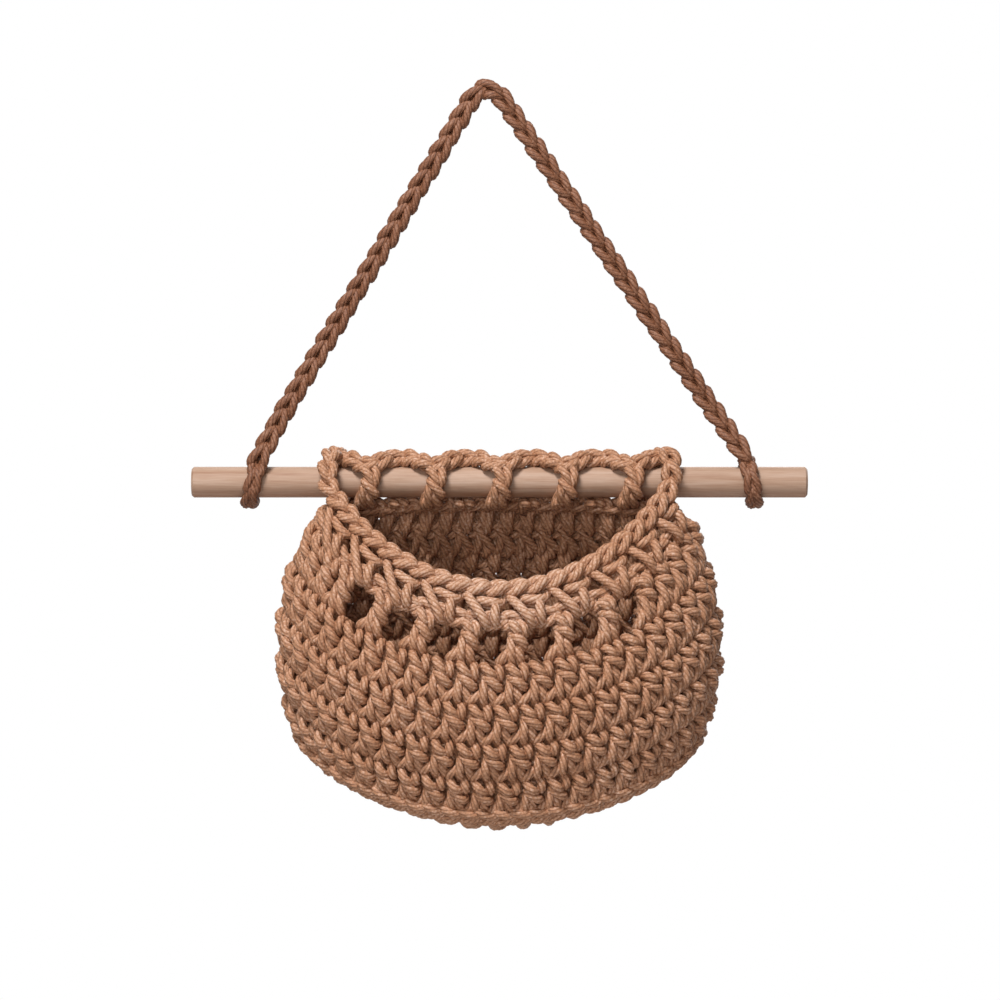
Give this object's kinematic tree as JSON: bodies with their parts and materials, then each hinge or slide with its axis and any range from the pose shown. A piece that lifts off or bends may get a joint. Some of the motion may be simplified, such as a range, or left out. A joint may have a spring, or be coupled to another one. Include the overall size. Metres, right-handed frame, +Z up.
{
  "type": "hanging fruit basket",
  "caption": "Crocheted cotton pouch with a scooped, eyelet-edged mouth, threaded on a wooden dowel that hangs from a crocheted cord, for storing fruit.",
  "frame": {"origin": "the hook seat, under the top of the hanging cord", "axes": "+X along the dowel, to the right as seen from the front; -Y to the front; +Z up"},
  "size_m": [0.3, 0.1231, 0.3664],
  "materials": {
    "dowel_wood": "bare sanded pine",
    "hanging_cotton": "matt twisted cotton",
    "basket_cotton": "matt twisted cotton"
  },
  "bodies": {
    "hanger": {"hanging_cord": "hanging_cotton", "left_cord_loop": "hanging_cotton", "right_cord_loop": "hanging_cotton"},
    "dowel": {"dowel": "dowel_wood"},
    "basket": {"casing_chain": "basket_cotton", "rim_edging": "basket_cotton", "front_casing_posts": "basket_cotton", "back_casing_posts": "basket_cotton", "rim_posts": "basket_cotton", "eyelet_chain": "basket_cotton", "eyelet_posts": "basket_cotton", "eyelet_back_round": "basket_cotton", "wall_round_1": "basket_cotton", "wall_round_2": "basket_cotton", "wall_round_3": "basket_cotton", "wall_round_4": "basket_cotton", "base_ridge": "basket_cotton", "base_round_1": "basket_cotton", "base_round_2": "basket_cotton", "base_round_3": "basket_cotton", "foundation_chain": "basket_cotton"}
  },
  "joints": [
    {"name": "dowel_slide", "type": "slide", "parent": "hanger", "child": "dowel", "axis": [1, 0, 0], "range_m": [-0.02, 0.02]},
    {"name": "basket_swing", "type": "hinge", "parent": "dowel", "child": "basket", "pos_m": [0.005, 0, -0.1875], "axis": [1, 0, 0], "range_deg": [-90, 90]}
  ]
}
